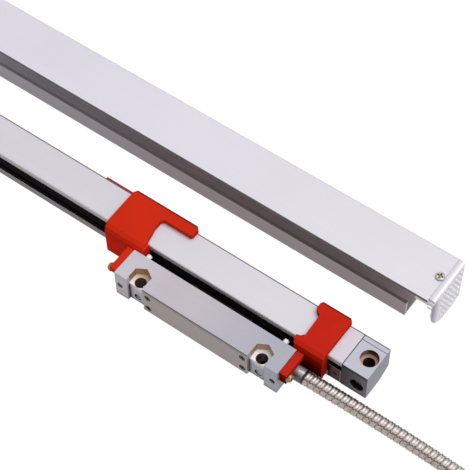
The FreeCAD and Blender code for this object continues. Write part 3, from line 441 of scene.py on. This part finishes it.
# Sizes of the features that the looks follow, in metres
SKIN = 0.0002
RIM_WIDTH = 0.0007
RIM_DROP = 0.0012
SEAL_BAND = 0.0055
BORE_RADIUS = 0.00325
COUNTERBORE_RADIUS = 0.00535
RECESS_DEPTH = 0.0042
FRONT_BORE_RADIUS = 0.0024
POCKET_RADIUS = 0.0067
POCKET_DEPTH = 0.0058
NOTCH_DEPTH = 0.0022
CLAMP_SQUARE = 0.0122
CLAMP_LINE = 0.0007
LIP_DEPTH = 0.0066
LIP_DROP = 0.012
SHEET_EDGE = 0.003


def housing_look():
    """Extruded and anodised: pale top, a warm grey painted shade band over the slot that darkens
    downwards, painted shade low on the near face, a little darker at the right end, painted shade on
    the far edge.
    """
    t = metal("housing_anodised", (0.66, 0.64, 0.69), 0.42, 0.12, streak=(6, 1500, 1500), mottling=0.03)
    side = t.facing(TOWARDS_HEAD, 0.5, 0.9)
    down = t.remap(t.axis("Z"), housing_high[2] - 0.0004, seal_top - 0.0008, 0.3, 1.0)
    # Painted shade: the near face darkens downwards from its top edge
    t.tint(t.both(side, down), (0.66, 0.60, 0.56))
    # Painted shade on the near face below the slot
    t.tint(t.both(side, t.below("Z", seal_top - SEAL_BAND)), (0.62, 0.58, 0.57))
    t.tint(t.above("X", housing_high[0] - 0.011, 0.003), (0.93, 0.89, 0.91))
    # Painted shade along the far edge
    return t.paint(t.far_rim(housing_high), (0.12, 0.12, 0.14))


def block_look():
    """Milled and anodised: cool top, painted shade on the end face and on the near face (darkest
    towards the housing and under the top), on the far edge and in the near face's sunk pocket, brown
    counterbores with painted shade in the bores.
    """
    t = metal("block_anodised", (0.50, 0.50, 0.575), 0.40, 0.12, streak=(900, 40, 900), mottling=0.05,
              gloss=0.05)
    # Painted shade: the end face and the near face darkened, most towards the housing and in a strip
    # under the top
    t.tint(t.facing(CABLE_END), (0.62, 0.62, 0.62))
    near = t.facing(TOWARDS_HEAD)
    t.tint(near, (0.42, 0.38, 0.38))
    t.tint(t.both(near, t.outward(block_high[0] - 0.002, block_low[0] + 0.008)), (0.2, 0.17, 0.17))
    t.tint(t.both(near, t.above("Z", seal_top)), (0.4, 0.37, 0.37))
    # Painted shade along the far edge
    t.paint(t.far_rim(block_high), (0.16, 0.16, 0.18))
    inside = t.both(t.near_bores(scale_bores, COUNTERBORE_RADIUS), t.below("Z", block_high[2] - SKIN))
    t.tint(inside, (0.88, 0.60, 0.40))
    # The bores: brown tone with painted shade
    t.tint(t.both(t.near_bores(scale_bores, BORE_RADIUS + SKIN), inside), (0.35, 0.22, 0.16))
    recess = t.both(t.above("Y", block_low[1] + 0.0003), t.below("Y", block_low[1] + RECESS_DEPTH),
                    t.below("Z", seal_top), t.outward(block_high[0], block_high[0] - 0.0003))
    # Painted shade: near black in the sunk pocket of the near face
    t.paint(recess, (0.03, 0.025, 0.026))
    spigot = t.outward(housing_high[0] + 0.0001, housing_high[0] - SKIN)
    return t.paint(spigot, (0.006, 0.006, 0.006))


def head_look():
    """Anodised head: cool top, bluer to the right, fronts and notches painted pale as painted light,
    painted shade over the front plate and in the front holes and bores, brown and cream hexagon pockets
    with painted shade on some walls and on the far part of the left floor.
    """
    t = metal("head_anodised", (0.57, 0.55, 0.63), 0.38, 0.06, streak=(8, 900, 900), mottling=0.04,
              tint=(0.59, 0.555, 0.60), gloss=0.12)
    top = head_high[2]
    pocket_floor = top - POCKET_DEPTH
    left_bore = head_bores[0].x
    t.tint(t.ramp("X", head_low[0] + 0.006, head_low[0] + 0.030), (0.92, 0.90, 0.88))
    front = t.facing(TOWARDS_HEAD)
    # Painted light: the front faces are painted paler
    t.paint(t.both(front, t.below("Z", top - 0.0006)), (0.74, 0.70, 0.73))
    t.tint(t.ramp("X", head_low[0] + 0.050, head_high[0] - 0.012), (0.78, 0.85, 0.91))
    notch = t.both(front, t.above("Y", head_low[1] + 0.0015), t.above("Z", top - 0.0085, 0.0012))
    # Painted light: the notch faces painted near white
    t.paint(t.both(notch, t.below("Y", head_low[1] + 0.0025)), (0.95, 0.93, 0.96))
    shade_over_plate = t.both(front, t.above("X", plate_low[0]), t.below("X", plate_high[0]),
                        t.above("Z", plate_high[2]))
    # Painted shade on the head's front over the plate, darkest in a line under the top
    t.paint(shade_over_plate, (0.40, 0.35, 0.34))
    t.paint(t.both(shade_over_plate, t.above("Z", top - 0.0011)), (0.10, 0.09, 0.10))
    # Painted shade in the holes of the front
    t.tint(t.both(t.below("Y", head_low[1] + 0.008), t.below("Z", pocket_floor - 0.0005),
                  t.hollow(0.003, 0.5, 0.9)), (0.05, 0.04, 0.045))
    front_bores = t.near_bores(head_bores, FRONT_BORE_RADIUS, axis="Z", level=front_bore_level)
    deeper = t.above("Y", head_low[1] + NOTCH_DEPTH, 0.00005)
    # Painted shade in the front bores
    t.tint(t.both(front_bores, deeper), (0.05, 0.04, 0.04))
    pocket = t.both(t.near_bores(head_bores, POCKET_RADIUS), t.above("Y", head_low[1] + 0.0023),
                    t.below("Z", top - SKIN), t.above("Z", pocket_floor - SKIN))
    ground = t.facing(UPWARDS)
    t.paint(t.both(pocket, ground), (0.92, 0.88, 0.92))
    walls = t.both(pocket, t.but(ground))
    t.tint(walls, (1.15, 0.80, 0.50))
    # Painted shade on the pocket walls that face the cable end
    t.tint(t.both(walls, t.facing(CABLE_END, 0.3, 0.8)), (0.6, 0.62, 0.66))
    t.tint(t.both(walls, t.below("X", left_bore)), (0.80, 0.68, 0.55))
    far_part = t.ramp("Y", head_bores[0].y - 0.003, head_bores[0].y + 0.004)
    # Painted shade on the far part of the left pocket's floor
    t.tint(t.both(pocket, ground, t.below("X", left_bore), far_part), (0.8, 0.65, 0.5))
    # The mount bores: brown tone with painted shade
    return t.tint(t.near_bores(head_bores, BORE_RADIUS + SKIN), (0.28, 0.16, 0.13))


def plate_look():
    """Brushed front plate, a little brown."""
    return metal("plate_brushed", (0.37, 0.315, 0.305), 0.34, 0.3, streak=(10, 2500, 2500),
                 mottling=0.10, depth=0.00003)


def cover_look():
    """Anodised cover: even pale top, warmer to the right, a grey inside painted paler as painted light
    and darker to the right as painted shade, painted shade on the lip top, the near faces, the near
    sheet edge and the far edge.
    """
    t = metal("cover_anodised", (0.72, 0.705, 0.77), 0.40, 0.12, streak=(5, 1200, 1200), mottling=0.025)
    right, far, top = cover_high
    inner = t.both(t.above("Y", cover_low[1] + LIP_DEPTH), t.below("Z", top - 0.001),
                   t.below("Y", far - 0.001))
    t.tint(t.ramp("X", 0.0, right), (0.97, 0.955, 0.93))
    # Painted light: the inside is painted paler, with painted shade towards the right
    t.paint(inner, (0.86, 0.84, 0.89))
    t.tint(t.both(inner, t.ramp("X", cover_low[0] / 2, right)), (0.78, 0.75, 0.76))
    lip = t.both(t.below("Y", cover_low[1] + LIP_DEPTH), t.below("Z", top - LIP_DROP))
    lip_top = t.both(lip, t.facing(UPWARDS))
    # Painted shade on the lip's top under the sheet, more to the right
    t.tint(lip_top, (0.60, 0.57, 0.54))
    t.tint(t.both(lip_top, t.ramp("X", -0.04, 0.09)), (0.74, 0.70, 0.66))
    near_faces = t.both(t.facing(TOWARDS_HEAD), t.below("Z", top - SHEET_EDGE))
    warmth = t.ramp("X", -0.14, 0.0)
    # Painted shade on the near faces
    t.tint(near_faces, (0.69, 0.66, 0.68))
    t.tint(t.both(near_faces, warmth), (0.97, 0.90, 0.85))
    t.tint(t.both(inner, warmth), (1.05, 1.0, 0.96))
    sheet_edge_shade = t.both(t.facing(TOWARDS_HEAD, 0.2, 0.5), t.above("Z", top - SHEET_EDGE),
                        t.below("Y", cover_low[1] + 0.003))
    # Painted shade over the near edge of the top sheet
    t.paint(sheet_edge_shade, (0.10, 0.085, 0.085))
    # Painted shade along the far edge
    return t.paint(t.far_rim(cover_high), (0.50, 0.50, 0.48))


def cap_look():
    """Thin perforated end cap: fold with a painted highlight and a painted grey shade line, lavender
    web, hole walls painted bright as painted light, painted shade near the near bend.
    """
    t = metal("cap_anodised", (0.80, 0.78, 0.86), 0.36, 0.15, mottling=0.03)
    tip = cap_high[0]
    plate = t.below("Z", cover_high[2] - SHEET_EDGE)
    web = t.facing(CABLE_END, 0.3, 0.6)
    walls = t.both(t.but(web), t.but(t.facing(OTHER_END, 0.3, 0.6)))
    # Painted shade towards the near bend
    t.tint(t.both(plate, t.ramp("Y", cap_low[1] + 0.009, cap_low[1] + 0.002)), (0.20, 0.20, 0.22))
    t.tint(t.both(plate, web), (0.96, 0.96, 1.0))
    # Painted light: the hole walls painted near white
    t.paint(t.both(plate, walls), (0.98, 0.98, 0.99))
    upper = t.above("Z", cover_high[2] - 0.001)
    # Painted shade: a grey line across the fold
    t.tint(t.both(upper, t.outward(tip - 0.0014, tip - 0.0020)), (0.80, 0.80, 0.78))
    # Painted highlight along the fold
    t.paint(t.both(upper, t.outward(tip - 0.0009, tip - 0.0006)), (0.97, 0.96, 0.97))
    seam = t.outward(cover_high[0] + 0.0007, cover_high[0] + 0.0002)
    return t.tint(t.both(seam, upper), (0.88, 0.88, 0.90))


def red_look(name, colour, near_light_and_shade, near_gloss):
    """Moulded red plastic: satin on top, painted light and shade on its near faces, stronger downwards,
    and painted shade on the far edges.
    """
    t = plastic(name, colour, 0.45, mottling=0.10, pale=(0.78, 0.08, 0.03), wear=0.5, gloss=0.0,
                depth=0.00001)
    far, top = bracket_high[1:]
    lower = t.remap(t.axis("Z"), top - 0.002, top - 0.012, 0.3, 1.0)
    near = t.facing(TOWARDS_HEAD, 0.5, 0.9)
    # Painted light and shade on the near faces: brighter on the left bracket, darker on the right one
    t.tint(t.both(near, lower), near_light_and_shade)
    # Painted shade along the far edges
    t.tint(t.both(t.above("Y", far - 0.0009), t.above("Z", top - 0.006)), (0.25, 0.30, 0.40))
    shine = t.math("ADD", t.both(t.facing(UPWARDS, 0.5, 0.9), 0.14), t.both(near, near_gloss))
    return t.set(coat=shine, coat_rough=0.4)


def clamp_look():
    """Clamp plate: near black painted shade above and towards the middle, a brown square with a thin
    painted highlight as its outline.
    """
    t = plastic("clamp_plastic", (0.24, 0.18, 0.17), 0.5, mottling=0.2, pale=(0.35, 0.32, 0.30),
                gloss=0.0)
    top = clamp_low[2] + CLAMP_SQUARE
    end = clamp_high[0]
    outward = t.math("ABSOLUTE", t.axis("X"))
    line = t.math("MAXIMUM", t.band(t.axis("Z"), top - 0.0006, top, 0.0001),
                  t.band(outward, end - CLAMP_LINE, end, 0.0001))
    # Painted shade towards the middle
    t.tint(t.outward(end - 0.005, end - 0.008), (0.05, 0.05, 0.05))
    # Painted highlight along the square's top and end edges
    t.paint(line, (0.42, 0.38, 0.37))
    # Painted shade: black above the square
    return t.paint(t.above("Z", top), (0.004, 0.004, 0.004))


def screw_look(name, colour, rough, metallic, slot_shade, gloss=0.5):
    """Turned screw: painted shade in its slots and round its head."""
    t = metal(name, colour, rough, metallic, mottling=0.08, wear=0.5, gloss=gloss)
    # Painted shade in the slots and round the head
    return t.tint(t.hollow(0.0015, 0.6, 1.0), slot_shade)


def ferrule_look():
    """Turned sleeve: pale on top, painted shade on its sides as they turn towards the table, a dark
    ring at its end.
    """
    t = metal("ferrule_sleeve", (0.52, 0.51, 0.56), 0.26, 0.5, streak=(2500, 60, 60), mottling=0.05)
    low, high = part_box("cable_ferrule")
    middle = (low[1] + high[1]) / 2
    # Painted shade on the near and far sides
    t.tint(t.ramp("Y", middle, low[1] + 0.0008), (0.22, 0.18, 0.18))
    t.tint(t.ramp("Y", middle + 0.0015, high[1] - 0.0008), (0.35, 0.33, 0.35))
    return t.paint(t.above("X", high[0] - 0.0010), (0.03, 0.025, 0.025))


def board_material():
    """Green solder mask with paler lines where the copper tracks lie under it."""
    t = Tree("circuit_board")
    tracks = t.add("ShaderNodeTexBrick", offset=0.35, squash=0.6)
    t.links.new(t.place, tracks.inputs["Vector"])
    for socket, value in (("Scale", 260.0), ("Mortar Size", 0.03), ("Mortar Smooth", 0.2)):
        tracks.inputs[socket].default_value = value
    tracks.inputs["Color1"].default_value = (0.006, 0.10, 0.04, 1)
    tracks.inputs["Color2"].default_value = (0.008, 0.13, 0.05, 1)
    tracks.inputs["Mortar"].default_value = (0.04, 0.22, 0.09, 1)
    grain = t.noise(1800.0)
    return t.set(colour=tracks.outputs[0], rough=t.remap(grain, 0.3, 0.7, 0.25, 0.4),
                 normal=t.bump(tracks.outputs[1], 0.3, 0.00004), coat=0.3)


def glass_material(name, grating):
    """Clear glass; the scale carries a band of fine chrome lines."""
    t = Tree(name)
    tint = (0.86, 0.95, 0.91)
    colour = t.mix(t.noise(40.0), tint, scaled(tint, 1.04))
    values = {"rough": t.remap(t.noise(300.0), 0.3, 0.7, 0.01, 0.05), "clear": 0.85, "ior": 1.5}
    if grating:
        wave = t.add("ShaderNodeTexWave", wave_type="BANDS", bands_direction="X")
        t.links.new(t.place, wave.inputs["Vector"])
        wave.inputs["Scale"].default_value = 800.0
        lines = t.remap(wave.outputs["Fac"], 0.45, 0.55, 0.0, 1.0)
        band = t.both(t.above("Y", 0.0015, 0.00005), t.below("Y", 0.0066, 0.00005))
        colour = t.mix(t.both(lines, band), colour, (0.25, 0.26, 0.28))
    return t.set(colour=colour, **values)


# Where the painted reflection lines lie around the hose, and their half width
NEAR_LINE = 0.43
FAR_LINE = -0.34
LINE_HALF = 0.07


def hose_material():
    """Bright interlocked steel: darker brown grooves, pale crowns, a painted warm reflection with
    stain-like variation on the sides, a brown painted reflection line on the near side, and on the far
    side a pale painted highlight beside a black painted reflection line.
    """
    t = Tree("hose_steel")
    height = t.add("ShaderNodeAttribute", attribute_name="height").outputs["Fac"]
    sideways = t.add("ShaderNodeAttribute", attribute_name="sideways").outputs["Fac"]
    fine = t.noise(1500.0, 3.0)
    broad = t.noise(90.0, 2.0)
    t.base = t.mix(t.remap(broad, 0.3, 0.7, 0.0, 1.0), (0.45, 0.415, 0.405), (0.38, 0.34, 0.33))
    stain = t.remap(t.noise(650.0, 3.0), 0.35, 0.65, 0.0, 1.0)
    # Painted warm reflection on the hose's sides, with stain-like variation
    side_reflection_and_stain = t.mix(stain, (0.68, 0.60, 0.56), (0.42, 0.33, 0.29))
    t.paint(t.math("MULTIPLY", t.math("ABSOLUTE", sideways), 0.85), side_reflection_and_stain)
    near_bend = t.math("ADD", sideways, t.math("MULTIPLY", height, -0.25))
    # Painted reflection: a brown line along the near side
    near_reflection_line = t.band(near_bend, NEAR_LINE - LINE_HALF, NEAR_LINE + LINE_HALF, 0.03)
    t.paint(t.both(near_reflection_line, 0.9), (0.10, 0.055, 0.03))
    far_bend = t.math("ADD", sideways, t.math("MULTIPLY", height, 0.3))
    # Painted highlight: a pale band beside the far line
    t.paint(t.remap(far_bend, FAR_LINE - 0.05, FAR_LINE - 0.1, 0.0, 0.9), (0.80, 0.80, 0.81))
    width = t.remap(t.axis("X"), 0.16, 0.24, 0.22, LINE_HALF)
    from_line = t.math("DIVIDE", t.math("SUBTRACT", far_bend, FAR_LINE), width)
    # Painted reflection: a black line along the far side, wider where the hose leaves the head
    t.paint(t.both(t.band(from_line, -1.0, 1.0, 0.3), 0.9), (0.025, 0.025, 0.025))
    uneven = t.math("ADD", height, t.math("MULTIPLY", fine, 0.2))
    # Darker brown in the grooves
    groove_mask = t.remap(uneven, 0.2, 0.72, 1.0, 0.0, True)
    t.paint(groove_mask, (0.10, 0.056, 0.036))
    rough = t.remap(t.math("ADD", groove_mask, fine), 0.4, 1.4, 0.32, 0.55)
    return t.set(rough=rough, metal=0.45, normal=t.bump(fine, 0.25, 0.00003))


def dress(look, *names):
    """Give pieces of the frame a look."""
    for name in names:
        mesh = nodes[name].data
        if not mesh.materials:
            mesh.materials.append(look.material)
        for number in range(len(mesh.materials)):
            mesh.materials[number] = look.material


seal = plastic("seal_rubber", (0.011, 0.011, 0.013), 0.9, wear=0.0, gloss=0.02)
dark_steel = screw_look("blackened_steel", (0.05, 0.04, 0.037), 0.45, 0.2, (0.1, 0.1, 0.1), 0.15)
steel = screw_look("screw_steel", (0.50, 0.44, 0.39), 0.28, 0.8, (0.02, 0.012, 0.008))
brass = screw_look("brass", (0.30, 0.20, 0.09), 0.35, 0.6, (0.10, 0.07, 0.05))
plain_steel = metal("plain_steel", (0.55, 0.54, 0.53), 0.3, 0.85, mottling=0.08)
bright = metal("ferrule_steel", (0.58, 0.57, 0.61), 0.26, 0.6, streak=(2500, 60, 60), mottling=0.05)
board = board_material()
dress(housing_look(), "housing")
dress(block_look(), "right_end_block", "left_end_block")
dress(plastic("gasket_rubber", (0.06, 0.06, 0.065), 0.7, gloss=0.2), "right_gasket", "left_gasket")
dress(seal, "upper_lip_seal", "lower_lip_seal", "glass_bead")
dress(dark_steel, "coupling_blade")
dress(clamp_look(), "seal_clamps")
dress(dark_steel, "front_plate_screws", "air_port_screws")
dress(screw_look("clamp_screw", (0.11, 0.08, 0.075), 0.6, 0.0, (0.25, 0.25, 0.25), 0.0),
      "seal_clamp_screws")
dress(steel, "cover_cap_screws", "end_block_screws", "plug_screws")
dress(plain_steel, "coupling_pin", "roller_axles")
dress(head_look(), "reader_block")
dress(plate_look(), "front_plate")
# The left bracket's near faces get painted light, the right one's painted shade from the head
dress(red_look("red_plastic_left", (0.62, 0.024, 0.005), (1.45, 1.1, 0.9), 0.08), "left_bracket")
dress(red_look("red_plastic_right", (0.55, 0.016, 0.004), (0.26, 0.12, 0.12), 0.0), "right_bracket")
dress(brass, "bracket_screws", "plug_contacts")
dress(plastic("white_plastic", (0.90, 0.88, 0.86), 0.35, mottling=0.03), "spacer_pins")
dress(ferrule_look(), "cable_ferrule")
dress(bright, "plug_shell", "roller_1", "roller_2", "roller_3", "roller_4", "roller_5")
dress(metal("plug_cast", (0.42, 0.41, 0.41), 0.5, 0.35, mottling=0.08, grain=1500.0, depth=0.00004),
      "plug_hood")
dress(plastic("black_plastic", (0.018, 0.018, 0.02), 0.45), "plug_insert")
dress(metal("cast_metal", (0.30, 0.30, 0.31), 0.5, 0.5, mottling=0.1), "scanning_carriage")
dress(plastic("chip_plastic", (0.022, 0.022, 0.024), 0.5), "amplifier_chips")
dress(board, "amplifier_board", "lamp_board", "sensor_board")
dress(glass_material("scale_glass", True), "glass_strip")
dress(glass_material("lens_glass", False), "condenser_lens", "index_glass")
dress(cover_look(), "cover_channel")
dress(cap_look(), "right_cover_cap", "left_cover_cap")
hose.data.materials.append(hose_material().material)


# Floor, world and lamps
def add_node(tree, kind, inputs, **settings):
    """A node with its inputs and settings; an input may be joined to another node's output."""
    node = tree.nodes.new(kind)
    for key, value in settings.items():
        setattr(node, key, value)
    for key, value in inputs.items():
        if isinstance(value, bpy.types.NodeSocket):
            tree.links.new(value, node.inputs[key])
        else:
            node.inputs[key].default_value = value
    return node


def seen_share(tree):
    """1 for the rays that see the background: camera, glossy and transmission."""
    path = add_node(tree, "ShaderNodeLightPath", {})
    result = path.outputs["Is Camera Ray"]
    for ray in ("Is Glossy Ray", "Is Transmission Ray"):
        inputs = {0: result, 1: path.outputs[ray]}
        result = add_node(tree, "ShaderNodeMath", inputs, operation="MAXIMUM").outputs[0]
    return result


FLOOR_SIDE = 6
FLOOR_LEVEL = -0.0004
# Contact shadow: its reach, the open share where it is full and where it ends, the glow there
SHADOW_REACH = 0.012
SHADOW_OPEN = (0.12, 0.26)
SHADOW_GLOW = (0.02, 0.98)
WORLD_LIGHT = 0.26
floor_mesh = bpy.data.meshes.new("floor")
corners = [(-FLOOR_SIDE, -FLOOR_SIDE), (FLOOR_SIDE, -FLOOR_SIDE), (FLOOR_SIDE, FLOOR_SIDE),
           (-FLOOR_SIDE, FLOOR_SIDE)]
floor_mesh.from_pydata([(x, y, FLOOR_LEVEL) for x, y in corners], [], [(0, 1, 2, 3)])
floor = link(bpy.data.objects.new("floor", floor_mesh))
floor_look = bpy.data.materials.new("floor")
floor_look.use_nodes = True
tree = floor_look.node_tree
tree.nodes.clear()
# Grey for the light that it throws on the pieces; seen white, with soft contact shadows
plain = add_node(tree, "ShaderNodeBsdfDiffuse", {"Color": (0.60, 0.585, 0.58, 1)})
pale = add_node(tree, "ShaderNodeBsdfDiffuse", {"Color": (0.05, 0.05, 0.05, 1)})
covered = add_node(tree, "ShaderNodeAmbientOcclusion", {"Distance": SHADOW_REACH})
strength = add_node(tree, "ShaderNodeMapRange", {
    "Value": covered.outputs["AO"], "From Min": SHADOW_OPEN[0], "From Max": SHADOW_OPEN[1],
    "To Min": SHADOW_GLOW[0], "To Max": SHADOW_GLOW[1]})
glow = add_node(tree, "ShaderNodeEmission", {"Strength": strength.outputs[0]})
white = add_node(tree, "ShaderNodeAddShader", {0: pale.outputs[0], 1: glow.outputs[0]})
choice = add_node(tree, "ShaderNodeMixShader", {
    0: seen_share(tree), 1: plain.outputs[0], 2: white.outputs[0]})
add_node(tree, "ShaderNodeOutputMaterial", {"Surface": choice.outputs[0]})
floor_mesh.materials.append(floor_look)

world = bpy.data.worlds.new("world")
scene.world = world
world.use_nodes = True
tree = world.node_tree
tree.nodes.clear()
level = add_node(tree, "ShaderNodeMapRange", {
    "Value": seen_share(tree), "To Min": WORLD_LIGHT, "To Max": 1.0})
background = add_node(tree, "ShaderNodeBackground", {
    "Color": (1, 1, 1, 1), "Strength": level.outputs[0]})
add_node(tree, "ShaderNodeOutputWorld", {"Surface": background.outputs[0]})


def lamp(name, place, towards, size, radiance, colour=(1, 1, 1)):
    """A square soft light of a given brightness per area."""
    data = bpy.data.lights.new(name, "AREA")
    data.shape = "SQUARE"
    data.size = size
    data.energy = radiance * math.pi * size ** 2
    data.color = colour
    obj = link(bpy.data.objects.new(name, data))
    obj.location = place
    obj.rotation_mode = "QUATERNION"
    obj.rotation_quaternion = (Vector(towards) - Vector(place)).to_track_quat("-Z", "Y")
    obj.visible_camera = False


LIT_PLACE = (0.1, 0.0, 0.0)
lamp("key", (0.96, 0.562, 3.03), LIT_PLACE, 2.8, 3.65, (1.0, 0.99, 1.0))
lamp("side", (2.2, 0.1, 0.9), LIT_PLACE, 1.4, 0.7)
